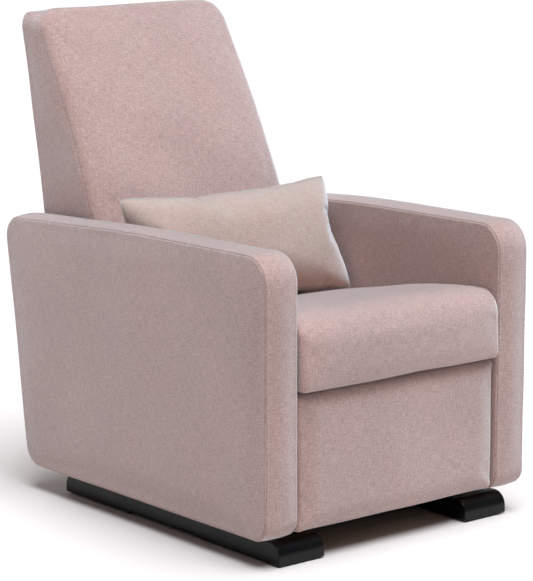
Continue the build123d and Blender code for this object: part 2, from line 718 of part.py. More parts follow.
def make_back_springs():
    """Five sinuous springs across the back frame, one above the other."""
    wires = []
    for z in BACK_SPRING_Z:
        plane = Plane(origin=(0, rear_y(z) - 30, z), x_dir=(1, 0, 0), z_dir=(0, -1, 0.2))
        wires.append(zigzag(BRACKET_X - UPRIGHT_W + CLIP, 17, SPRING_W, 3.2, plane))
    return group(*wires)


def make_back_cover():
    """Outside back panel, set flush into the rear of the upholstery."""
    with BuildPart() as cover:
        with BuildSketch(side_plane(-(POCKET_HALF - 1))):
            with BuildLine():
                rear_band(POCKET_Z0 + 1, POCKET_Z1 - 1, 0, PANEL)
            make_face()
        extrude(amount=2 * (POCKET_HALF - 1))
    return cover.part


def make_back_bracket():
    """Steel plate on the outer face of an upright, reaching forward to the recline pivot."""
    pivot = (RECLINE_Y, RECLINE_Z)
    with BuildPart() as bracket:
        with BuildSketch(side_plane(BRACKET_X)):
            with BuildLine():
                Polyline(
                    (rear_y(220) - 45, 220), (rear_y(220) - 20, 220), (rear_y(400) - 20, 400),
                    (rear_y(400) - 45, 400), (rear_y(330) - 50, 330), (RECLINE_Y, 316),
                    (RECLINE_Y, 284), (rear_y(270) - 50, 270), close=True,
                )
            make_face()
            with Locations(pivot):
                Circle(16)
                Circle(DRIVE_R + BORE_GAP, mode=Mode.SUBTRACT)
        extrude(amount=PLATE)
    return bracket.part


def make_recline_pins():
    """Shouldered pins in the side plates that the back brackets turn on."""
    return both_sides(joint_pin((RECLINE_Y, RECLINE_Z), SIDE_PLATE_X, BRACKET_X, DRIVE_R))


# ---------------------------------------------------------------- pillow
def make_pillow():
    """Lumbar pillow: two crowned halves on a rectangular seam, leaning on the back."""
    lean, turn = math.radians(PILLOW_LEAN), math.radians(PILLOW_TURN)
    front = (-math.cos(lean) * math.sin(turn), -math.cos(lean) * math.cos(turn), math.sin(lean))
    seam = Plane(origin=PILLOW_AT, x_dir=(math.cos(turn), -math.sin(turn), 0), z_dir=front)
    seam = seam.rotated((0, 0, PILLOW_ROLL))
    with BuildPart() as pillow:
        for direction in (1, -1):
            with BuildSketch(seam):
                RectangleRounded(PILLOW_W, PILLOW_H, 30)
            extrude(amount=direction * PILLOW_T / 4, taper=20)
            with BuildSketch(seam.offset(direction * PILLOW_T / 4)):
                shrink = PILLOW_T / 2 * math.tan(math.radians(20))
                RectangleRounded(PILLOW_W - shrink, PILLOW_H - shrink, 20)
            extrude(amount=direction * PILLOW_T / 4, taper=52)
    return pillow.part


# ---------------------------------------------------------------- build
def export_base():
    export_pair(make_runner(), "runner")
    export_node(make_crossbar(*CROSSBAR_FRONT), "base_crossbar_front")
    export_node(make_crossbar(*CROSSBAR_REAR), "base_crossbar_rear")
    export_node(make_foot_pads(), "foot_pads")
    export_pair(group(make_tower(GLIDE_FRONT_Y), make_tower(GLIDE_REAR_Y)), "glide_towers")
    export_node(make_tower_screws(), "tower_screws")
    export_node(make_glide_pins(LINK_TOP_Z, TOWER_X), "tower_pins")


def export_glide():
    for where, pivot_y in (("front", GLIDE_FRONT_Y), ("rear", GLIDE_REAR_Y)):
        export_node(make_swing_links(pivot_y), f"swing_links_{where}")
        export_node(make_link_bushes(pivot_y), f"link_bushes_{where}")


def export_chassis():
    export_pair(make_arm_pad(), "arm_pad")
    export_pair(make_arm_frame(), "arm_frame")
    export_pair(make_side_rail(), "side_rail")
    export_pair(make_seat_track(), "seat_track")
    export_pair(group(make_hanger(GLIDE_FRONT_Y), make_hanger(GLIDE_REAR_Y)), "glide_hangers")
    export_node(make_glide_pins(LINK_TOP_Z - LINK_LENGTH, HANGER_X), "hanger_pins")
    export_node(make_arm_bolts(), "arm_bolts")
    export_node(make_stretcher(*FRONT_STRETCHER), "front_stretcher")
    export_node(make_stretcher(*REAR_STRETCHER), "rear_stretcher")


def export_seat():
    export_pair(make_side_plate(), "seat_side_plate")
    export_node(make_seat_frame(), "seat_frame")
    export_node(make_seat_springs(), "seat_springs")
    export_node(make_seat_cushion(), "seat_cushion")
    export_node(make_slide_blocks(), "slide_blocks")
    export_node(make_recline_pins(), "recline_pins")
    export_node(both_sides(joint_pin(CONTROL_PIVOT, SIDE_PLATE_X, CONTROL_X)), "control_pins")


def export_lever():
    export_node(make_release_lever(), "release_lever")
    export_node(make_lever_shaft(), "lever_shaft")
    export_node(make_latch_hook(), "latch_hook")
    export_node(make_lever_spring(), "lever_spring")


def export_footrest():
    export_node(make_drive_shaft(), "drive_shaft")
    export_node(make_drive_links(), "drive_links")
    export_node(make_drive_pins(), "drive_pins")
    export_node(make_latch_disc(), "latch_disc")
    export_node(make_front_links(), "front_links")
    export_node(make_front_pins(), "front_pins")
    export_node(make_control_links(), "control_links")
    export_node(make_idler_links(), "idler_links")
    export_node(make_footrest_pad(), "footrest_pad")
    export_node(make_footrest_board(), "footrest_board")
    export_node(both_sides(make_board_bracket()), "footrest_brackets")
    export_node(both_sides(joint_pin(IDLER_TOP, DRIVE_X, IDLER_X)), "bracket_pins")


def export_back():
    export_node(make_back_cushion(), "back_cushion")
    export_node(make_back_cover(), "back_outer_panel")
    export_node(make_back_frame(), "back_frame")
    export_node(make_back_springs(), "back_springs")
    export_pair(make_back_bracket(), "back_bracket")
    export_node(make_pillow(), "lumbar_pillow")


os.makedirs("parts", exist_ok=True)
export_base()
export_glide()
export_chassis()
export_seat()
export_lever()
export_footrest()
export_back()
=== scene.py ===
import json
import math

import bmesh
import bpy
import numpy as np
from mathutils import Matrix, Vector
from mathutils.geometry import delaunay_2d_cdt
from mathutils.kdtree import KDTree


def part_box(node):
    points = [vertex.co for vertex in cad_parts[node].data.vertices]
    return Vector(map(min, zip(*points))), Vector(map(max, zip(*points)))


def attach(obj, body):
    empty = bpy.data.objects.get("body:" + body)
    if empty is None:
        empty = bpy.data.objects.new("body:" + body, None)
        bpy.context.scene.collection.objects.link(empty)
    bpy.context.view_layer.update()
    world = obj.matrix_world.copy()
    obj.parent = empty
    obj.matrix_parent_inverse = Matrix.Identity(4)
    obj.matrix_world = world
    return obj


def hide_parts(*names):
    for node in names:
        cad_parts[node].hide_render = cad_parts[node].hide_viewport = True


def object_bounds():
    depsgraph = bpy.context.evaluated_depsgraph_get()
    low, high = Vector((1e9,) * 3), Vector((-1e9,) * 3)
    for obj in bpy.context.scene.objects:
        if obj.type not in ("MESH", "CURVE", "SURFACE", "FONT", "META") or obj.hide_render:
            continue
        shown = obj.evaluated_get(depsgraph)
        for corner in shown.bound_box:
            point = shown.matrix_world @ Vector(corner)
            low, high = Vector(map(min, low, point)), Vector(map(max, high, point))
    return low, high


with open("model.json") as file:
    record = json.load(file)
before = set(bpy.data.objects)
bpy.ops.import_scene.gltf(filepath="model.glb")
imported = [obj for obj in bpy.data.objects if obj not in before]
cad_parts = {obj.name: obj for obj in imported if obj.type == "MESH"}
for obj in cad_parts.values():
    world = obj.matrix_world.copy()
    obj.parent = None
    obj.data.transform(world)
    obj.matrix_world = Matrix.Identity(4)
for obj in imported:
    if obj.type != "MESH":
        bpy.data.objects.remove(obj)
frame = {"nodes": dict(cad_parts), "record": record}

# The upholstered covers, stitching, materials, light and camera of the glider nursery chair. Each
# padded CAD solid is replaced by a cover that is built as a mesh, and all but the outside back are
# filled out by a cloth simulation.
# Everything is in metres, in the CAD's frame: X to the right as seen from the front, front towards -Y.

CAD_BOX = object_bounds()
MM = 0.001


# ---------------------------------------------------------------- places taken from the frame
ARM = {side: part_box(f"arm_pad_{side}") for side in ("left", "right")}
FRONT = ARM["right"][0][1]  # the arms' front face
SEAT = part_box("seat_cushion")
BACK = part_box("back_cushion")
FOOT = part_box("footrest_pad")
FLOOR_Z = CAD_BOX[0][2]


def yz(y, z):
    """A point in a side view, from millimetres behind the arms' front face and above the floor."""
    return (FRONT + y * MM, z * MM)


# ---------------------------------------------------------------- outlines
def rounded(points, radii):
    """A dense closed polyline round the corners of a polygon, each with its own radius."""
    path = []
    corners = np.array(points, float)
    for i, corner in enumerate(corners):
        to_last, to_next = corners[i - 1] - corner, corners[(i + 1) % len(corners)] - corner
        to_last, to_next = to_last / np.linalg.norm(to_last), to_next / np.linalg.norm(to_next)
        half = math.acos(np.clip(to_last @ to_next, -1, 1)) / 2
        bisector = (to_last + to_next) / max(np.linalg.norm(to_last + to_next), 1e-9)
        centre = corner + bisector * radii[i] / math.sin(half)
        run_in = radii[i] / math.tan(half)
        start, end = corner + to_last * run_in, corner + to_next * run_in
        a, b = start - centre, end - centre
        turn = math.atan2(a[0] * b[1] - a[1] * b[0], a @ b)
        for k in range(13):
            c, s = math.cos(turn * k / 12), math.sin(turn * k / 12)
            path.append(centre + (a[0] * c - a[1] * s, a[0] * s + a[1] * c))
    return np.array(path)


def evenly(path, count):
    """count points spaced evenly along a closed polyline."""
    closed = np.vstack([path, path[:1]])
    run = np.concatenate([[0], np.cumsum(np.linalg.norm(np.diff(closed, axis=0), axis=1))])
    at = np.linspace(0, run[-1], count, endpoint=False)
    return np.stack([np.interp(at, run, closed[:, k]) for k in (0, 1)], axis=1)


def outward(path):
    """Unit normals of a closed polyline, pointing out of it."""
    along = np.roll(path, -1, axis=0) - np.roll(path, 1, axis=0)
    along /= np.linalg.norm(along, axis=1)[:, None]
    normal = np.stack([along[:, 1], -along[:, 0]], axis=1)
    area = np.sum(path[:, 0] * np.roll(path[:, 1], -1) - np.roll(path[:, 0], -1) * path[:, 1])
    return normal if area > 0 else -normal


def ease(x, low, high):
    """0 below low, 1 above high, and smooth between them."""
    t = np.clip((x - low) / (high - low), 0, 1)
    return t * t * (3 - 2 * t)


# ---------------------------------------------------------------- meshes
def new_mesh(name, verts, faces, materials):
    """A smooth-shaded mesh object in the scene."""
    mesh = bpy.data.meshes.new(name)
    mesh.from_pydata([tuple(v) for v in verts], [], faces)
    mesh.update()
    obj = bpy.data.objects.new(name, mesh)
    bpy.context.collection.objects.link(obj)
    for material in materials:
        mesh.materials.append(material)
    mesh.polygons.foreach_set("use_smooth", [True] * len(mesh.polygons))
    return obj


def coordinates(mesh):
    """A mesh's vertices, one row each."""
    co = np.empty(len(mesh.vertices) * 3)
    mesh.vertices.foreach_get("co", co)
    return co.reshape(-1, 3)


def set_coordinates(mesh, co):
    """Moves a mesh's vertices to the rows of co."""
    mesh.vertices.foreach_set("co", np.ascontiguousarray(co, float).ravel())
    mesh.update()


def inset_ring(outline, depth):
    """The outline moved inwards, without the loops that this makes at tight corners."""
    moved = outline - outward(outline) * depth
    return moved if depth == 0 else moved[depth_inside(moved, outline) > depth - 0.05 * MM]


def depth_inside(points, outline):
    """Each point's distance to the outline."""
    best = np.full(len(points), 1e9)
    for start, along in zip(outline, np.roll(outline, -1, axis=0) - outline):
        t = np.clip(((points - start) @ along) / (along @ along), 0, 1)
        best = np.minimum(best, np.linalg.norm(points - start - t[:, None] * along, axis=1))
    return best


def is_inside(points, outline):
    """Which points lie inside the outline, by counting crossings."""
    inside = np.zeros(len(points), bool)
    for p, q in zip(outline, np.roll(outline, -1, axis=0)):
        spans = (p[1] > points[:, 1]) != (q[1] > points[:, 1])
        with np.errstate(divide="ignore", invalid="ignore"):
            cross = p[0] + (points[:, 1] - p[1]) * (q[0] - p[0]) / (q[1] - p[1])
        inside ^= spans & (points[:, 0] < cross)
    return inside


def end_panel(outline, depths, grid):
    """A triangulated panel inside an outline: rings at set depths, then an even grid of points."""
    points, edges = [], []
    for depth in depths:
        ring = inset_ring(outline, depth)
        base = len(points)
        points += list(ring)
        edges += [(base + k, base + (k + 1) % len(ring)) for k in range(len(ring))]
    low, high = outline.min(0), outline.max(0)
    x, y = np.meshgrid(np.arange(low[0], high[0], grid), np.arange(low[1], high[1], grid * 0.87))
    x = x + (np.arange(x.shape[0]) % 2)[:, None] * grid / 2
    inner = np.column_stack([x.ravel(), y.ravel()])
    inner = inner[is_inside(inner, outline)]
    inner = inner[depth_inside(inner, outline) > depths[-1] + grid * 0.6]
    points = np.vstack([np.array(points), inner])
    found = delaunay_2d_cdt([Vector(p) for p in points], edges, [], 1, 1e-7)
    flat = np.array([(v.x, v.y) for v in found[0]])
    source = {first[0]: i for i, first in enumerate(found[3]) if first}
    rim = [source[k] for k in range(len(outline))]
    return flat, [tuple(f) for f in found[2]], rim


def box_cushion(name, outline, sides, place, material, grid=9 * MM, rows=6, crown=0.0):
    """A boxed pad: a band round an outline, closed by a panel at each end.

    sides holds (profile, direction, reach) for each end, where profile lists (depth, rise): how far a
    ring lies inside the outline, and how far it stands out from the band's edge, which is at reach.
    crown is how far the band's middle bulges, as one value or one for each point of the outline.
    """
    count = len(outline)
    verts, faces, ends = [], [], []
    for profile, direction, reach in sides:
        depths = [d for d, _ in profile]
        flat, triangles, rim = end_panel(outline, depths, grid)
        rise = np.interp(depth_inside(flat, outline), depths, [r for _, r in profile])
        base = sum(len(v) for v in verts)
        verts.append(place(flat, direction * (reach + rise)))
        faces += [tuple(base + k for k in f) for f in triangles]
        ends.append([base + k for k in rim])
    base = sum(len(v) for v in verts)
    low, high = (direction * reach for _, direction, reach in sides)
    for r in range(1, rows):
        height = crown * (1 - (2 * r / rows - 1) ** 2) * np.ones(count)
        bulge = outward(outline) * height[:, None]
        verts.append(place(outline + bulge, np.full(count, low + (high - low) * r / rows)))
    loops = [ends[0]] + [list(range(base + r * count, base + (r + 1) * count)) for r in range(rows - 1)]
    loops.append(ends[1])
    for a, b in zip(loops, loops[1:]):
        for j in range(count):
            k = (j + 1) % count
            faces.append((a[j], a[k], b[k], b[j]))
    obj = new_mesh(name, np.vstack(verts), faces, [material])
    fix_normals(obj)
    return obj


def fix_normals(obj):
    """Turns all faces outwards."""
    shape = bmesh.new()
    shape.from_mesh(obj.data)
    bmesh.ops.recalc_face_normals(shape, faces=shape.faces)
    shape.to_mesh(obj.data)
    shape.free()


def sewn_profile(radius, puff, seam=45, groove=2.0 * MM):
    """A rounded corner with a seam sunk into it at an angle, then a panel that stands a little proud."""
    rings = []
    sunk = {seam - 5: 0.5, seam: 1.0, seam + 5: 0.5}
    plain = [degrees for degrees in (0, 16, 32, 58, 74, 90) if abs(degrees - seam) > 8]
    for degrees in sorted(plain + list(sunk)):
        a, r = math.radians(degrees), radius - sunk.get(degrees, 0.0) * groove
        rings.append((radius - r * math.cos(a), r * math.sin(a)))
    for more, part in ((7, 0.25), (14, 0.5), (26, 0.8), (45, 1.0)):
        rings.append((radius + more * MM, radius + puff * part))
    return rings


def plain_profile(shoulder, puff):
    """A rounded shoulder that runs into its panel without a seam."""
    rings = []
    for k in range(7):
        a = math.pi / 2 * k / 6
        rings.append((shoulder * (1 - math.cos(a)), shoulder * math.sin(a)))
    return rings + [(shoulder + 12 * MM, shoulder + puff * 0.5), (shoulder + 30 * MM, shoulder + puff)]


def ripple(co, amount, seed):
    """A slow unevenness, as of wadding under cloth, at each point."""
    rng = np.random.default_rng(seed)
    total = np.zeros(len(co))
    for _ in range(14):
        direction = rng.normal(size=3)
        direction *= rng.uniform(14, 42) / np.linalg.norm(direction)
        total += np.sin(co @ direction + rng.uniform(0, 6.28))
    return total * amount / 3


def roughen(obj, amount, seed):
    """Moves a mesh in and out along its normals by ripple."""
    co = coordinates(obj.data)
    normal = np.empty(len(co) * 3)
    obj.data.vertex_normals.foreach_get("vector", normal)
    set_coordinates(obj.data, co + normal.reshape(-1, 3) * ripple(co, amount, seed)[:, None])


# ---------------------------------------------------------------- cloth
BENDING = 0.5
DAMPING = 15
NEIGHBOURS = 8


def simulate(obj, held, pressure, frames, stiffness):
    """Runs cloth with air pressure in it, and returns where each vertex went."""
    scene = bpy.context.scene
    group = obj.vertex_groups.new(name="held")
    group.add([int(i) for i in np.nonzero(held)[0]], 1.0, "REPLACE")
    cloth = obj.modifiers.new("Cloth", "CLOTH")
    settings = cloth.settings
    settings.quality = 5
    settings.mass = 0.15
    settings.tension_stiffness = settings.compression_stiffness = stiffness
    settings.shear_stiffness = stiffness / 2
    settings.bending_stiffness = BENDING
    settings.tension_damping = settings.compression_damping = settings.shear_damping = DAMPING
    settings.use_pressure = True
    settings.uniform_pressure_force = pressure
    settings.vertex_group_mass = "held"
    settings.effector_weights.gravity = 0
    cloth.collision_settings.use_collision = False
    cloth.collision_settings.use_self_collision = False
    cloth.point_cache.frame_start = 1
    cloth.point_cache.frame_end = frames
    for frame_number in range(1, frames + 1):
        scene.frame_set(frame_number)
    result = obj.evaluated_get(bpy.context.evaluated_depsgraph_get())
    end = coordinates(result.to_mesh())
    result.to_mesh_clear()
    obj.modifiers.remove(cloth)
    obj.vertex_groups.remove(group)
    scene.frame_set(1)
    return end


def fill_out(obj, hold, pressure, cap, voxel=9 * MM, frames=18, stiffness=9.0):
    """Fills a padded piece: its remeshed copy is blown up as cloth, and the piece follows it.

    hold tells which points of the copy stay put, such as those along seams and on boards. cap is the
    furthest that a point may move, and voxel is the size that the copy is remeshed at.
    """
    copy = bpy.data.objects.new("cloth_copy", obj.data.copy())
    bpy.context.collection.objects.link(copy)
    remesh = copy.modifiers.new("Remesh", "REMESH")
    remesh.mode = "VOXEL"
    remesh.voxel_size = voxel
    depsgraph = bpy.context.evaluated_depsgraph_get()
    mesh = bpy.data.meshes.new_from_object(copy.evaluated_get(depsgraph))
    copy.modifiers.clear()
    copy.data = mesh
    start = coordinates(mesh)
    move = simulate(copy, hold(start), pressure, frames, stiffness) - start
    length = np.linalg.norm(move, axis=1, keepdims=True)
    move *= cap * np.tanh(length / cap) / np.maximum(length, 1e-9)
    tree = KDTree(len(start))
    for i, point in enumerate(start):
        tree.insert(point, i)
    tree.balance()
    co = coordinates(obj.data)
    shift = np.zeros_like(co)
    for i, point in enumerate(co):
        near = tree.find_n(point, NEIGHBOURS)
        weights = np.array([1 / (distance + 2 * MM) ** 2 for _, _, distance in near])
        shift[i] = weights @ move[[index for _, index, _ in near]] / weights.sum()
    set_coordinates(obj.data, co + shift)
    bpy.data.objects.remove(copy)


# ---------------------------------------------------------------- materials
class Nodes:
    """A small helper that adds and links shader nodes."""

    def __init__(self, tree):
        self.tree = tree

    def add(self, kind, **values):
        node = self.tree.nodes.new(kind)
        for key, value in values.items():
            setattr(node, key, value)
        return node

    def link(self, source, target):
        self.tree.links.new(source, target)

    def feed(self, node, index, value):
        """Links a socket to an input, or sets the input to a number or colour."""
        if isinstance(value, bpy.types.NodeSocket):
            self.link(value, node.inputs[index])
        else:
            node.inputs[index].default_value = value

    def math(self, operation, a, b=0.0, c=0.0):
        node = self.add("ShaderNodeMath", operation=operation)
        self.feed(node, 0, a)
        self.feed(node, 1, b)
        self.feed(node, 2, c)
        return node.outputs[0]

    def mix(self, factor, a, b):
        node = self.add("ShaderNodeMix", data_type="RGBA")
        self.feed(node, 0, factor)
        self.feed(node, 6, a)
        self.feed(node, 7, b)
        return node.outputs[2]

    def noise(self, vector, scale, detail=2.0, rough=0.5):
        node = self.add("ShaderNodeTexNoise")
        self.link(vector, node.inputs["Vector"])
        node.inputs["Scale"].default_value = scale
        node.inputs["Detail"].default_value = detail
        node.inputs["Roughness"].default_value = rough
        return node.outputs["Fac"]

    def span(self, value, low, high, to_low=0.0, to_high=1.0):
        """Maps low..high to to_low..to_high, clamped."""
        node = self.add("ShaderNodeMapRange")
        for index, x in enumerate((value, low, high, to_low, to_high)):
            self.feed(node, index, x)
        return node.outputs[0]

    def stretch(self, vector, scale):
        node = self.add("ShaderNodeMapping")
        self.link(vector, node.inputs["Vector"])
        node.inputs["Scale"].default_value = scale
        return node.outputs[0]


def new_material(name):
    """A material, a Nodes helper for its tree, and its shader."""
    material = bpy.data.materials.new(name)
    material.use_nodes = True
    shader = material.node_tree.nodes["Principled BSDF"]
    return material, Nodes(material.node_tree), shader


def set_shader(shader, **values):
    """Constants on the shader's own sockets."""
    for key, value in values.items():
        shader.inputs[key.replace("_", " ")].default_value = value


def rgb(r, g, b):
    """A colour given as 0 to 255 in sRGB, as the linear colour that the shader takes."""
    linear = [((c / 255 + 0.055) / 1.055) ** 2.4 if c > 10 else c / 255 / 12.92 for c in (r, g, b)]
    return (*linear, 1.0)


def weave_group():
    """Plain weave over the two first coordinates, in threads: its height, and each yarn's shade."""
    group = bpy.data.node_groups.new("weave", "ShaderNodeTree")
    group.interface.new_socket("Vector", in_out="INPUT", socket_type="NodeSocketVector")
    group.interface.new_socket("Height", in_out="OUTPUT", socket_type="NodeSocketFloat")
    group.interface.new_socket("Shade", in_out="OUTPUT", socket_type="NodeSocketFloat")
    n = Nodes(group)
    start, end = n.add("NodeGroupInput"), n.add("NodeGroupOutput")
    vector = start.outputs[0]
    split = n.add("ShaderNodeSeparateXYZ")
    n.link(vector, split.inputs[0])
    u, v = split.outputs[0], split.outputs[1]
    ridge_u = n.math("ABSOLUTE", n.math("SINE", n.math("MULTIPLY", u, math.pi)))
    ridge_v = n.math("ABSOLUTE", n.math("SINE", n.math("MULTIPLY", v, math.pi)))
    cells = n.math("ADD", n.math("FLOOR", u), n.math("FLOOR", v))
    over = n.math("GREATER_THAN", n.math("FRACT", n.math("MULTIPLY", cells, 0.5)), 0.25)
    under = n.math("SUBTRACT", 1.0, over)
    height = n.math("ADD", n.math("MULTIPLY", ridge_u, over), n.math("MULTIPLY", ridge_v, under))
    warp = n.noise(n.stretch(vector, (1.0, 0.06, 1.0)), 0.9, 1.0)
    weft = n.noise(n.stretch(vector, (0.06, 1.0, 1.0)), 0.9, 1.0)
    yarn = n.math("ADD", n.math("MULTIPLY", warp, over), n.math("MULTIPLY", weft, under))
    slub_warp = n.noise(n.stretch(vector, (1.0, 0.25, 1.0)), 0.9, 1.0, 0.5)
    slub_weft = n.noise(n.stretch(vector, (0.25, 1.0, 1.0)), 0.9, 1.0, 0.5)
    slub = n.math("MULTIPLY", n.math("ADD", slub_warp, slub_weft), 0.5)
    shade = n.math("ADD", n.math("MULTIPLY", yarn, 0.55), n.math("MULTIPLY", slub, 0.45))
    n.link(height, end.inputs[0])
    n.link(shade, end.inputs[1])
    return group


WEAVE = weave_group()


def fabric(name, pale, deep, blush, thread=1.15 * MM, contrast=1.0):
    """Linen-like cloth of pale and deep yarns, with warmer patches where they run to blush.

    The weave is laid over the piece from three sides, so that each face shows the one it looks along.
    """
    material, n, shader = new_material(name)
    texture = n.add("ShaderNodeTexCoord")
    place = texture.outputs["Object"]
    split = n.add("ShaderNodeSeparateXYZ")
    n.link(place, split.inputs[0])
    x, y, z = split.outputs
    facing = n.add("ShaderNodeSeparateXYZ")
    n.link(texture.outputs["Normal"], facing.inputs[0])
    sides = [n.math("POWER", n.math("ABSOLUTE", out), 6.0) for out in facing.outputs]
    total = n.math("ADD", n.math("ADD", sides[0], sides[1]), sides[2])
    height = shade = 0.0
    for side, (a, b) in zip(sides, ((y, z), (x, z), (x, y))):
        join = n.add("ShaderNodeCombineXYZ")
        n.link(n.math("DIVIDE", a, thread), join.inputs[0])
        n.link(n.math("DIVIDE", b, thread), join.inputs[1])
        cloth = n.add("ShaderNodeGroup", node_tree=WEAVE)
        n.link(join.outputs[0], cloth.inputs[0])
        share = n.math("DIVIDE", side, total)
        height = n.math("MULTIPLY_ADD", cloth.outputs[0], share, height)
        shade = n.math("MULTIPLY_ADD", cloth.outputs[1], share, shade)
    fleck = n.noise(place, 420.0, 2.0, 0.7)
    tone = n.math("ADD", n.math("MULTIPLY", shade, 0.86), n.math("MULTIPLY", fleck, 0.14))
    tone = n.span(tone, 0.5 - 0.15 / contrast, 0.5 + 0.15 / contrast)
    colour = n.mix(tone, deep, pale)
    patch = n.span(n.noise(place, 14.0, 3.0, 0.6), 0.42, 0.68, 0.0, 0.55)
    colour = n.mix(patch, colour, n.mix(tone, deep, blush))
    worn = n.span(n.noise(place, 5.0, 2.0), 0.35, 0.7, 0.94, 1.04)
    bright = n.add("ShaderNodeHueSaturation")
    n.link(colour, bright.inputs["Color"])
    n.link(worn, bright.inputs["Value"])
    n.link(bright.outputs[0], shader.inputs["Base Color"])
    n.link(n.span(shade, 0.3, 0.7, 0.95, 0.82), shader.inputs["Roughness"])
    bump = n.add("ShaderNodeBump")
    bump.inputs["Strength"].default_value = 0.55
    bump.inputs["Distance"].default_value = 0.35 * MM
    n.link(n.math("MULTIPLY_ADD", fleck, 0.5, height), bump.inputs["Height"])
    n.link(bump.outputs[0], shader.inputs["Normal"])
    set_shader(shader, Sheen_Weight=1.0, Sheen_Roughness=0.5, Specular_IOR_Level=0.4)
    shader.inputs["Sheen Tint"].default_value = (0.88, 0.96, 1.0, 1.0)
    return material


def lacquer():
    """Black satin lacquer on wood: faint ripple, a faint haze of tone and dust-fine roughness."""
    material, n, shader = new_material("black lacquer")
    place = n.add("ShaderNodeTexCoord").outputs["Object"]
    haze = n.noise(place, 28.0, 4.0, 0.6)
    n.link(n.mix(haze, rgb(5, 5, 6), rgb(12, 12, 13)), shader.inputs["Base Color"])
    n.link(n.span(n.noise(place, 9.0, 3.0), 0.3, 0.7, 0.3, 0.42), shader.inputs["Roughness"])
    bump = n.add("ShaderNodeBump")
    bump.inputs["Strength"].default_value = 0.15
    bump.inputs["Distance"].default_value = 0.3 * MM
    n.link(n.noise(place, 160.0, 2.0), bump.inputs["Height"])
    n.link(bump.outputs[0], shader.inputs["Normal"])
    set_shader(shader, Specular_IOR_Level=0.22, Coat_Weight=0.12, Coat_Roughness=0.12)
    return material


def wood(name, light, dark, along=1):
    """Raw timber with its grain along one axis."""
    material, n, shader = new_material(name)
    place = n.add("ShaderNodeTexCoord").outputs["Object"]
    scale = [34.0, 34.0, 34.0]
    scale[along] = 2.2
    grain = n.noise(n.stretch(place, scale), 1.6, 6.0, 0.65)
    fibre_scale = [x * 9 for x in scale]
    fibre = n.noise(n.stretch(place, fibre_scale), 1.0, 2.0)
    tone = n.math("ADD", n.math("MULTIPLY", grain, 0.7), n.math("MULTIPLY", fibre, 0.3))
    n.link(n.mix(n.span(tone, 0.35, 0.65), dark, light), shader.inputs["Base Color"])
    n.link(n.span(fibre, 0.3, 0.7, 0.55, 0.75), shader.inputs["Roughness"])
    bump = n.add("ShaderNodeBump")
    bump.inputs["Strength"].default_value = 0.3
    bump.inputs["Distance"].default_value = 0.3 * MM
    n.link(tone, bump.inputs["Height"])
    n.link(bump.outputs[0], shader.inputs["Normal"])
    return material


def metal(name, colour, shade, metallic, rough, grain):
    """Painted, plated or bare steel: speckle, handling marks and uneven roughness."""
    material, n, shader = new_material(name)
    place = n.add("ShaderNodeTexCoord").outputs["Object"]
    speck = n.noise(place, grain, 3.0, 0.6)
    marks = n.noise(n.stretch(place, (1.0, 6.0, 1.0)), 22.0, 5.0, 0.7)
    n.link(n.mix(n.span(marks, 0.4, 0.62), shade, colour), shader.inputs["Base Color"])
    n.link(n.span(speck, 0.3, 0.7, rough - 0.08, rough + 0.1), shader.inputs["Roughness"])
    bump = n.add("ShaderNodeBump")
    bump.inputs["Strength"].default_value = 0.2
    bump.inputs["Distance"].default_value = 0.15 * MM
    n.link(speck, bump.inputs["Height"])
    n.link(bump.outputs[0], shader.inputs["Normal"])
    set_shader(shader, Metallic=metallic)
    return material


def plastic(name, colour, shade, rough):
    """Moulded plastic or rubber with a fine grain."""
    material, n, shader = new_material(name)
    place = n.add("ShaderNodeTexCoord").outputs["Object"]
    grain = n.noise(place, 900.0, 2.0)
    n.link(n.mix(n.noise(place, 40.0, 3.0), shade, colour), shader.inputs["Base Color"])
    n.link(n.span(grain, 0.3, 0.7, rough - 0.05, rough + 0.08), shader.inputs["Roughness"])
    bump = n.add("ShaderNodeBump")
    bump.inputs["Strength"].default_value = 0.25
    bump.inputs["Distance"].default_value = 0.1 * MM
    n.link(grain, bump.inputs["Height"])
    n.link(bump.outputs[0], shader.inputs["Normal"])
    return material


CLOTH = fabric(
    "woven upholstery", rgb(205, 169, 159), rgb(151, 117, 107), rgb(205, 164, 156), contrast=1.6)
PILLOW_CLOTH = fabric(
    "woven pillow cover", rgb(201, 177, 163), rgb(161, 131, 117), rgb(202, 163, 152), 1.4 * MM, contrast=1.2)
THREAD = fabric("sewing thread", rgb(203, 180, 172), rgb(180, 155, 147), rgb(200, 172, 164), 0.4 * MM)
LACQUER = lacquer()
HARDWOOD = wood("hardwood", rgb(190, 152, 108), rgb(150, 108, 70))
PLYWOOD = wood("plywood", rgb(206, 176, 132), rgb(168, 134, 92), along=2)
BLACK_STEEL = metal("powder-coated steel", rgb(34, 34, 36), rgb(24, 24, 26), 0.0, 0.45, 700.0)
ZINC = metal("zinc-plated steel", rgb(176, 176, 172), rgb(140, 140, 138), 1.0, 0.38, 500.0)
SPRING_STEEL = metal("oiled spring steel", rgb(104, 104, 108), rgb(72, 72, 76), 1.0, 0.34, 400.0)
NYLON = plastic("nylon", rgb(226, 224, 214), rgb(206, 204, 194), 0.45)
RUBBER = plastic("foot rubber", rgb(30, 30, 31), rgb(18, 18, 19), 0.72)
LEVER_BLACK = plastic("lever grip", rgb(30, 30, 32), rgb(20, 20, 22), 0.5)

NODE_MATERIALS = {
    "black_lacquer": LACQUER, "foot_rubber": RUBBER, "plywood": PLYWOOD, "hardwood": HARDWOOD,
    "black_steel": BLACK_STEEL, "zinc_steel": ZINC, "spring_steel": SPRING_STEEL, "nylon": NYLON,
    "lever_black": LEVER_BLACK, "upholstery": CLOTH, "pillow_cover": PILLOW_CLOTH,
}


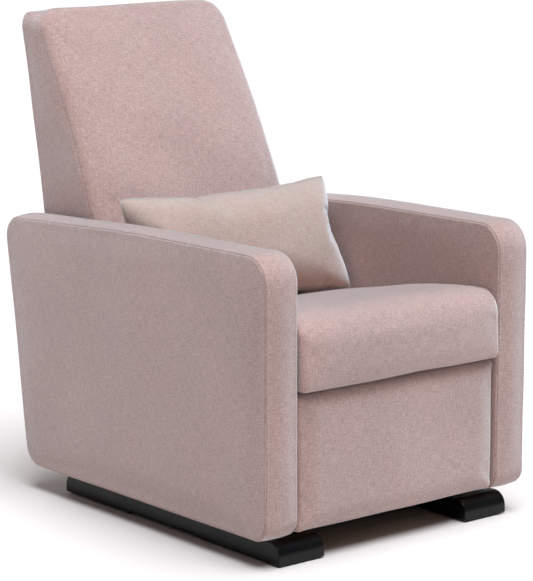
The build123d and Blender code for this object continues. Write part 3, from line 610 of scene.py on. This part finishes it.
def dress_cad_nodes():
    """Every CAD piece that stays gets the material of its slot."""
    for entry in frame["record"]["subparts"]:
        obj = frame["nodes"][entry["node"]]
        material = NODE_MATERIALS[entry["material_slot"]]
        if not obj.material_slots:
            obj.data.materials.append(material)
        for slot in obj.material_slots:
            slot.material = material


# ---------------------------------------------------------------- stitching
# One stitch's rings: how far along it, how wide and how high, the last two in thread radii.
STITCH_RINGS = ((0.0, 0.25, -0.7), (0.15, 0.9, 0.1), (0.5, 1.0, 0.5), (0.85, 0.9, 0.1), (1.0, 0.25, -0.7))


def stitch_row(name, points, normals, pitch=6.5 * MM, length=4.6 * MM, radius=0.42 * MM):
    """A row of short raised stitches along a path, each one a small capsule."""
    points, normals = np.asarray(points), np.asarray(normals)
    run = np.concatenate([[0], np.cumsum(np.linalg.norm(np.diff(points, axis=0), axis=1))])
    verts, faces = [], []
    for at in np.arange(pitch / 2, run[-1] - pitch / 2, pitch):
        a = np.array([np.interp(at - length / 2, run, points[:, k]) for k in range(3)])
        b = np.array([np.interp(at + length / 2, run, points[:, k]) for k in range(3)])
        up = np.array([np.interp(at, run, normals[:, k]) for k in range(3)])
        up /= np.linalg.norm(up)
        along = (b - a) / np.linalg.norm(b - a)
        across = np.cross(up, along)
        base = len(verts)
        for t, wide, lift in STITCH_RINGS:
            middle = a + (b - a) * t + up * radius * lift
            for k in range(6):
                c, s = math.cos(k * math.pi / 3), math.sin(k * math.pi / 3)
                verts.append(middle + (across * c + up * s) * radius * wide)
        for ring in range(len(STITCH_RINGS) - 1):
            for k in range(6):
                m = (k + 1) % 6
                low, high = base + ring * 6, base + ring * 6 + 6
                faces.append((low + k, low + m, high + m, high + k))
    return new_mesh(name, verts, faces, [THREAD])


def tube(name, points, radius, material):
    """A round cord sewn along a closed path, such as a welt."""
    curve = bpy.data.curves.new(name, "CURVE")
    curve.dimensions = "3D"
    curve.bevel_depth = radius
    curve.bevel_resolution = 3
    spline = curve.splines.new("POLY")
    spline.points.add(len(points) - 1)
    for point, co in zip(spline.points, points):
        point.co = (*co, 1.0)
    spline.use_cyclic_u = True
    curve.materials.append(material)
    obj = bpy.data.objects.new(name, curve)
    bpy.context.collection.objects.link(obj)
    depsgraph = bpy.context.evaluated_depsgraph_get()
    mesh = bpy.data.meshes.new_from_object(obj.evaluated_get(depsgraph))
    bpy.data.objects.remove(obj)
    mesh.polygons.foreach_set("use_smooth", [True] * len(mesh.polygons))
    result = bpy.data.objects.new(name, mesh)
    bpy.context.collection.objects.link(result)
    return result


# ---------------------------------------------------------------- arms
ARM_CORNERS = [yz(0, 57), yz(837, 57), yz(914, 607), yz(450, 630), yz(0, 634)]
ARM_RADII = [40 * MM, 45 * MM, 45 * MM, 4.0, 60 * MM]
ARM_SHOULDER = 6.5 * MM
ARM_TACKED_Z = 0.062
SEAT_TRAVEL = 51 * MM


def make_arm(side):
    """One arm's cover: a crowned band between two flat faces, with a stitched seam round each face."""
    low, high = ARM[side]
    middle, half = (low[0] + high[0]) / 2, (high[0] - low[0]) / 2
    outline = evenly(rounded(ARM_CORNERS, ARM_RADII), 420)
    profile = sewn_profile(ARM_SHOULDER, 1.0 * MM)

    def place(flat, across):
        return np.column_stack([middle + across, flat])

    reach = half - ARM_SHOULDER
    sides = ((profile, -1, reach), (profile, 1, reach))
    crown = (2.2 + 2.3 * np.clip(outward(outline)[:, 1], 0, 1)) * MM
    arm = box_cushion(f"arm_cover_{side}", outline, sides, place, CLOTH, rows=12, crown=crown)

    def hold(co):
        """The seams on both faces, and the underside, which is tacked to the frame."""
        depth = depth_inside(co[:, 1:], outline)
        on_face = np.abs(np.abs(co[:, 0] - middle) - half) < 5 * MM
        return (on_face & (np.abs(depth - ARM_SHOULDER) < 6 * MM)) | (co[:, 2] < ARM_TACKED_Z)

    fill_out(arm, hold, pressure=2.0, cap=2.2 * MM, voxel=11 * MM)
    roughen(arm, 0.45 * MM, 3 if side == "left" else 4)
    if side == "left":
        clear_of_lever(arm)
    finish_piece(arm, "chassis", stands_for=f"arm_pad_{side}")
    for end in (-1, 1):
        path = inset_ring(outline, 0.1 * MM)
        points = np.column_stack([np.full(len(path), middle + end * (reach - 0.5 * MM)), path])
        where = "outer" if (end > 0) == (side == "right") else "inner"
        row = stitch_row(f"arm_stitches_{side}_{where}", *onto(arm, points))
        finish_piece(row, "chassis")


def clear_of_lever(arm):
    """Presses the left arm's inner face back where the release lever passes as the seat slides."""
    low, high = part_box("release_lever")
    co = coordinates(arm.data)
    near = ease(co[:, 1], low[1] - SEAT_TRAVEL - 30 * MM, low[1] - SEAT_TRAVEL - 8 * MM)
    near *= 1 - ease(co[:, 1], high[1] + 8 * MM, high[1] + 30 * MM)
    near *= 1 - ease(co[:, 2], high[2] + 8 * MM, high[2] + 30 * MM)
    co[:, 0] -= np.clip(co[:, 0] - (low[0] - 1.2 * MM), 0, None) * near
    set_coordinates(arm.data, co)


def finish_piece(piece, body, stands_for=None):
    """Attaches a piece to the body that it moves with, and hides the CAD solid that it takes the place of.
    """
    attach(piece, body)
    if stands_for:
        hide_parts(stands_for)


def onto(obj, points, lift=0.15 * MM):
    """Lays points on a mesh's surface, and gives the surface's directions there."""
    found, normals = [], []
    for point in points:
        _, co, normal, _ = obj.closest_point_on_mesh(Vector(point))
        found.append(np.array(co) + np.array(normal) * lift)
        normals.append(np.array(normal))
    return np.array(found), np.array(normals)


# ---------------------------------------------------------------- seat
SEAT_CORNERS = [yz(-12, 352), yz(604, 352), yz(604, 405), yz(197, 487), yz(60, 504), yz(-12, 503)]
SEAT_RADII = [12 * MM, 6 * MM, 14 * MM, 0.6, 0.15, 50 * MM]
SEAT_SHOULDER = 12 * MM


def make_seat():
    """The seat cushion's cover, drawn tight over its front edge."""
    low, high = SEAT
    half = (high[0] - low[0]) / 2
    outline = evenly(rounded(SEAT_CORNERS, SEAT_RADII), 320)
    profile = plain_profile(SEAT_SHOULDER, 0.0)

    def place(flat, across):
        """Lowers the top towards the sides, and draws the front's corners in."""
        share = np.abs(across) / half
        height = np.clip((flat[:, 1] - low[2]) / (high[2] - low[2]), 0, 1)
        drop = 5 * MM * share ** 4 * height ** 1.6
        front = 1 - ease(flat[:, 0] - low[1], 0.0, 0.09)
        draw = 5 * MM * share ** 8 * front * ease(height, 0.1, 0.9)
        return np.column_stack([across + 0 * flat[:, 0], flat[:, 0] + draw, flat[:, 1] - drop])

    reach = half - SEAT_SHOULDER - 0.2 * MM
    sides = ((profile, -1, reach), (profile, 1, reach))
    seat = box_cushion("seat_cover", outline, sides, place, CLOTH, rows=56)

    def hold(co):
        """The underside, the rear edge and the sides, which the arms hold."""
        under, rear = co[:, 2] < low[2] + 8 * MM, co[:, 1] > high[1] - 20 * MM
        return under | rear | (np.abs(co[:, 0]) > half - 6 * MM)

    fill_out(seat, hold, pressure=2.2, cap=4 * MM)
    roughen(seat, 0.8 * MM, 7)
    recess_for_lever(seat)
    finish_piece(seat, "seat", stands_for="seat_cushion")


def recess_for_lever(seat):
    """Presses the left side of the seat in where the release lever's strap runs."""
    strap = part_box("release_lever")
    co = coordinates(seat.data)
    limit = strap[1][0] + 2.5 * MM
    near = ease(co[:, 1], strap[0][1] - 18 * MM, strap[0][1] - 6 * MM)
    near *= 1 - ease(co[:, 1], strap[1][1] + 38 * MM, strap[1][1] + 52 * MM)
    co[:, 0] += np.clip(limit - co[:, 0], 0, None) * near
    set_coordinates(seat.data, co)


# ---------------------------------------------------------------- footrest
def make_footrest():
    """The footrest's pad: a flat back on its board and a soft front."""
    low, high = FOOT
    half_w, half_h = (high[0] - low[0]) / 2, (high[2] - low[2]) / 2
    centre_z = (high[2] + low[2]) / 2
    corners = [(-half_w, -half_h), (half_w, -half_h), (half_w, half_h), (-half_w, half_h)]
    outline = evenly(rounded(corners, [9 * MM] * 4), 320)
    front = plain_profile(11 * MM, 2.6 * MM)
    rear = [(0.0, 0.0), (0.6 * MM, 1.2 * MM), (2 * MM, 1.8 * MM), (6 * MM, 2 * MM)]

    def place(flat, across):
        return np.column_stack([flat[:, 0], high[1] - across, flat[:, 1] + centre_z])

    sides = ((rear, -1, -2 * MM), (front, 1, high[1] - low[1] - 11 * MM))
    pad = box_cushion("footrest_cover", outline, sides, place, CLOTH, rows=6)
    fill_out(pad, lambda co: co[:, 1] > low[1] + 18 * MM, pressure=2.2, cap=3 * MM)
    roughen(pad, 0.6 * MM, 11)
    finish_piece(pad, "footrest_panel", stands_for="footrest_pad")


# ---------------------------------------------------------------- back
BACK_FRONT_LOW, BACK_FRONT_TOP = yz(611, 430), yz(912, 1063)
BACK_REAR = [yz(978, 1044), yz(885, 614), yz(815, 122)]
BACK_UNDER = [yz(768, 122), yz(736, 330), yz(692, 392)]
BACK_TOP_Z = 1.063
BACK_SHOULDER = 22 * MM
BACK_HALF_WIDTH = 0.271
BACK_BOW = 22 * MM
ARM_TOP_Z = 0.614


def back_half_width(z):
    """Half the back's width at a height: it tapers above the arms and has rounded top corners."""
    half = BACK_HALF_WIDTH - 10 * MM * np.clip((z - ARM_TOP_Z) / (BACK_TOP_Z - ARM_TOP_Z), 0, 1)
    corner = 52 * MM
    over = np.clip((z - (BACK_TOP_Z - corner)) / corner, 0, 1)
    return half - corner * (1 - np.sqrt(np.clip(1 - over ** 2, 0, 1)))


def make_back():
    """The back's cover: a bowed front between two side panels, each sewn on just behind the corner."""
    low, top = np.array(BACK_FRONT_LOW), np.array(BACK_FRONT_TOP)
    along = (top - low) / np.linalg.norm(top - low)
    out = np.array([-along[1], along[0]])
    shares = np.linspace(0.05, 0.95, 12)
    front = [tuple(low + (top - low) * t + out * BACK_BOW * 4 * t * (1 - t)) for t in shares]
    rear = [(y - 1 * MM, z) for y, z in BACK_REAR]
    corners = front + [tuple(top)] + rear + BACK_UNDER + [tuple(low)]
    radii = [0.3] * len(front) + [16 * MM, 6 * MM, 0.3, 8 * MM, 8 * MM, 40 * MM, 30 * MM, 20 * MM]
    outline = evenly(rounded(corners, radii), 420)
    half = BACK_HALF_WIDTH
    full = half - 0.5 * MM
    reach = full - BACK_SHOULDER
    profile = sewn_profile(BACK_SHOULDER, 0.0, seam=78)

    def place(flat, across):
        """Narrows the back with height, rounds its front a little and keeps its rear edges crisp."""
        share = np.abs(across) / half
        behind = 1 - ease(rear_line(flat[:, 1]) - flat[:, 0], 4 * MM, 45 * MM)
        square = np.minimum(np.abs(across) * (1 + behind * (full / reach - 1)), full)
        sink = 6 * MM * share ** 4 * (1 - behind)
        x = np.sign(across) * square / full * back_half_width(flat[:, 1])
        return np.column_stack([x, flat[:, 0] - sink * out[0], flat[:, 1] - sink * out[1]])

    sides = ((profile, -1, reach), (profile, 1, reach))
    back = box_cushion("back_cover", outline, sides, place, CLOTH, rows=56)

    def hold(co):
        """The rear, the part below the seat's top, and the side panels."""
        at_rear, low_down = rear_line(co[:, 2]) - co[:, 1] < 12 * MM, co[:, 2] < 0.40
        return at_rear | low_down | (np.abs(co[:, 0]) > half - 4 * MM)

    fill_out(back, hold, pressure=2.0, cap=2.5 * MM, voxel=10 * MM)
    roughen(back, 0.8 * MM, 21)
    finish_piece(back, "back", stands_for="back_cushion")


def rear_line(z):
    """The rear surface's depth at a height."""
    depths, heights = zip(*BACK_REAR[::-1])
    return np.interp(z, heights, depths)


def make_back_panel():
    """The outside back: a thin pad edged with a welt."""
    low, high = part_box("back_outer_panel")
    half_w = (high[0] - low[0]) / 2
    corners = [(-half_w, low[2]), (half_w, low[2]), (half_w, high[2]), (-half_w, high[2])]
    outline = evenly(rounded(corners, [22 * MM] * 4), 360)

    def place(flat, across):
        return np.column_stack([flat[:, 0], rear_line(flat[:, 1]) + across, flat[:, 1]])

    outside = [(0.0, 0.0), (1.2 * MM, 1.8 * MM), (3 * MM, 2.7 * MM), (7 * MM, 3.2 * MM), (20 * MM, 4 * MM)]
    outside += [(50 * MM, 5.2 * MM), (110 * MM, 6.2 * MM)]
    inside = [(0.0, 0.0), (2 * MM, 1.5 * MM), (6 * MM, 2 * MM)]
    sides = ((inside, -1, 6 * MM), (outside, 1, -1.5 * MM))
    panel = box_cushion("outside_back", outline, sides, place, CLOTH, grid=14 * MM, rows=2)
    roughen(panel, 0.5 * MM, 31)
    edge = place(outline, np.full(len(outline), 1.0 * MM))
    welt = tube("outside_back_welt", edge, 2.2 * MM, CLOTH)
    finish_piece(panel, "back", stands_for="back_outer_panel")
    finish_piece(welt, "back")


# ---------------------------------------------------------------- pillow
PILLOW_AT = np.array([0.004, FRONT + 0.541, 0.552])
PILLOW_LEAN, PILLOW_TURN, PILLOW_ROLL = math.radians(25.4), math.radians(8.5), math.radians(1.4)
PILLOW_WIDTH, PILLOW_HEIGHT = 0.545, 0.29  # of the flat panels, before they are filled
PILLOW_BELLY = 58 * MM
PILLOW_STEP = 7.5 * MM


def pillow_axes():
    """The pillow's width, height and front directions, as it leans on the back."""
    turn, level = PILLOW_TURN, math.cos(PILLOW_LEAN)
    front = np.array([-level * math.sin(turn), -level * math.cos(turn), math.sin(PILLOW_LEAN)])
    wide = np.array([math.cos(turn), -math.sin(turn), 0.0])
    tall = np.cross(wide, front)
    tall = tall if tall[2] > 0 else -tall
    c, s = math.cos(PILLOW_ROLL), math.sin(PILLOW_ROLL)
    return wide * c + tall * s, tall * c - wide * s, front


def pillow_pattern():
    """Two flat panels that share their edge, a little apart in the middle. Corners are cut back."""
    nu, nv = round(PILLOW_WIDTH / PILLOW_STEP), round(PILLOW_HEIGHT / PILLOW_STEP)
    u, v = np.meshgrid(np.linspace(-1, 1, nu + 1), np.linspace(-1, 1, nv + 1), indexing="ij")
    trim = 1 - 0.03 * (np.abs(u) * np.abs(v)) ** 5
    x, y = u * trim * PILLOW_WIDTH / 2, v * trim * PILLOW_HEIGHT / 2
    lift = 0.014 * np.clip((1 - u ** 4) * (1 - v ** 4), 0, 1) ** 0.5
    index = -np.ones((2, nu + 1, nv + 1), int)
    verts, faces = [], []
    for side in (0, 1):
        for i in range(nu + 1):
            for j in range(nv + 1):
                if side and (i in (0, nu) or j in (0, nv)):
                    index[1, i, j] = index[0, i, j]
                    continue
                index[side, i, j] = len(verts)
                verts.append((x[i, j], y[i, j], (1 - 2 * side) * lift[i, j]))
        for i in range(nu):
            for j in range(nv):
                quad = [index[side, i + di, j + dj] for di, dj in ((0, 0), (1, 0), (1, 1), (0, 1))]
                faces.append(quad if side == 0 else quad[::-1])
    return verts, faces


def pillow_rim():
    """The first panel's edge vertices, in order round the pillow."""
    nu, nv = round(PILLOW_WIDTH / PILLOW_STEP), round(PILLOW_HEIGHT / PILLOW_STEP)
    index = np.arange((nu + 1) * (nv + 1)).reshape(nu + 1, nv + 1)
    return np.concatenate([index[:-1, 0], index[-1, :-1], index[:0:-1, -1], index[0, :0:-1]])


def make_pillow():
    """Blows up two panels sewn at their edges, then lays the pillow against the back."""
    verts, faces = pillow_pattern()
    pillow = new_mesh("lumbar_pillow_cover", verts, faces, [PILLOW_CLOTH])
    start = coordinates(pillow.data)
    u, v = start[:, 0] / PILLOW_WIDTH * 2, start[:, 1] / PILLOW_HEIGHT * 2
    full = np.clip((1 - u ** 4) * (1 - v ** 4), 0, 1)
    belly = np.sign(start[:, 2]) * PILLOW_BELLY * full ** 0.6
    co = start + np.column_stack([0 * full, 0 * full, belly])
    free = np.zeros(len(verts), bool)
    move = simulate(pillow, free, pressure=9.0, frames=34, stiffness=25.0) - start
    move[:, :2] *= 0.95
    co = 0.25 * co + 0.75 * (start + move)
    wide, tall, front = pillow_axes()
    placed = PILLOW_AT + co @ np.array([wide, tall, front])
    set_coordinates(pillow.data, placed)
    finish_piece(pillow, "pillow", stands_for="lumbar_pillow")
    seam = tube("lumbar_pillow_seam", placed[pillow_rim()], 1.1 * MM, PILLOW_CLOTH)
    finish_piece(seam, "pillow")


# ---------------------------------------------------------------- stage
FLOOR_HALF = 60.0
KEY_FROM = Vector((-0.01, -0.22, 0.97))
CAMERA_AT = Vector((-3.3222, -4.0901, 1.4566))
CAMERA_TARGET = Vector((-0.0277, -0.0822, 0.4725))


def make_stage():
    """A plain pale floor."""
    material, n, shader = new_material("studio floor")
    place = n.add("ShaderNodeTexCoord").outputs["Object"]
    tone = n.mix(n.noise(place, 3.0), (0.68, 0.61, 0.57, 1), (0.70, 0.63, 0.59, 1))
    n.link(tone, shader.inputs["Base Color"])
    set_shader(shader, Roughness=0.9, Specular_IOR_Level=0.1)
    corners = [(x * FLOOR_HALF, y * FLOOR_HALF, FLOOR_Z) for x, y in ((-1, -1), (1, -1), (1, 1), (-1, 1))]
    floor = new_mesh("floor", corners, [(0, 1, 2, 3)], [material])


def make_lights():
    """A large soft key from overhead, and a dim room that is bright low down behind the chair."""
    scene = bpy.context.scene
    scene.view_settings.view_transform = "Standard"
    world = bpy.data.worlds.new("studio")
    scene.world = world
    world.use_nodes = True
    n = Nodes(world.node_tree)
    direction = n.add("ShaderNodeSeparateXYZ")
    n.link(n.add("ShaderNodeTexCoord").outputs["Generated"], direction.inputs[0])
    x, y, z = direction.outputs
    behind = n.math("ADD", n.math("MULTIPLY", x, 0.6), n.math("MULTIPLY", y, 0.8))
    backdrop = n.math("MULTIPLY", n.span(behind, 0.45, 0.8), n.span(z, 0.6, 0.3))
    background = world.node_tree.nodes["Background"]
    background.inputs[0].default_value = (0.94, 1.0, 1.05, 1.0)
    light = n.math("MULTIPLY_ADD", backdrop, 2.4, 0.11)
    seen = n.math("MULTIPLY", n.add("ShaderNodeLightPath").outputs["Is Camera Ray"], 1.1)
    n.link(n.math("MAXIMUM", light, seen), background.inputs[1])
    lamp = bpy.data.lights.new("key", "SUN")
    lamp.energy = 1.52 * math.pi
    lamp.color = (0.91, 1.0, 1.09)
    lamp.angle = math.radians(42)
    key = bpy.data.objects.new("key", lamp)
    key.rotation_euler = KEY_FROM.to_track_quat("Z", "Y").to_euler()
    bpy.context.collection.objects.link(key)


def make_camera():
    """A long lens at the viewing angle of a catalogue picture, from the front and the left."""
    data = bpy.data.cameras.new("camera")
    data.lens = 152.06
    data.sensor_width = 36
    camera = bpy.data.objects.new("camera", data)
    camera.location = CAMERA_AT
    camera.rotation_euler = (CAMERA_TARGET - CAMERA_AT).to_track_quat("-Z", "Y").to_euler()
    bpy.context.collection.objects.link(camera)
    bpy.context.scene.camera = camera


make_camera()
make_stage()
make_lights()
dress_cad_nodes()
for arm_side in ("left", "right"):
    make_arm(arm_side)
make_seat()
make_footrest()
make_back()
make_back_panel()
make_pillow()
